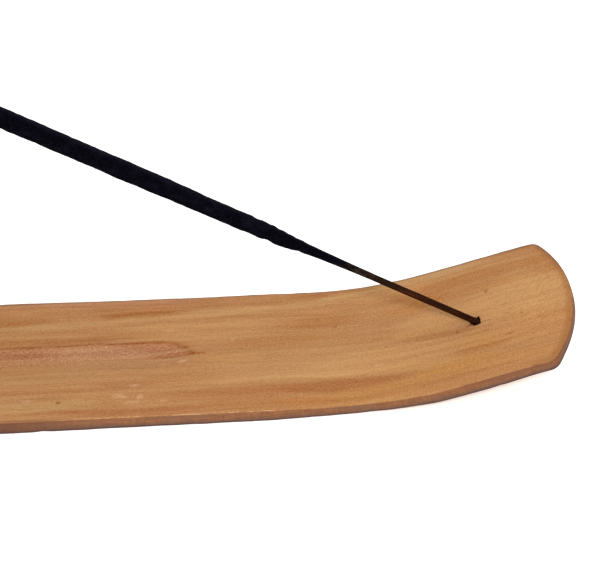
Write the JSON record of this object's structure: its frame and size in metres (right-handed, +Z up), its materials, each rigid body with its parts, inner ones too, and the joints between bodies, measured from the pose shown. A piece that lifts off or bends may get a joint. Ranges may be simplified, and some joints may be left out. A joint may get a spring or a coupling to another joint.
{
  "type": "incense burner",
  "caption": "Ski-shaped wooden incense burner: a flat board bent up at one end, with a shallow ash groove and a slanted hole holding an incense stick over it.",
  "frame": {"origin": "on the table surface, under the middle of the board's length and width", "axes": "+X along the board towards its raised end, +Z up, +Y across the board towards its back edge"},
  "size_m": [0.254, 0.038, 0.1325],
  "materials": {
    "tray_wood": "thinly oiled, sanded smooth",
    "bamboo": "dyed dark brown, split and shaved",
    "incense_paste": "dry charcoal and sawdust paste, matt black"
  },
  "bodies": {
    "tray": {"tray": "tray_wood"},
    "stick": {"bamboo_core": "bamboo", "incense_coating": "incense_paste"}
  },
  "joints": [
    {"name": "stick_pull", "type": "slide", "parent": "tray", "child": "stick", "axis": [-0.8453, 0, 0.5344], "range_m": [0, 0.05]}
  ]
}
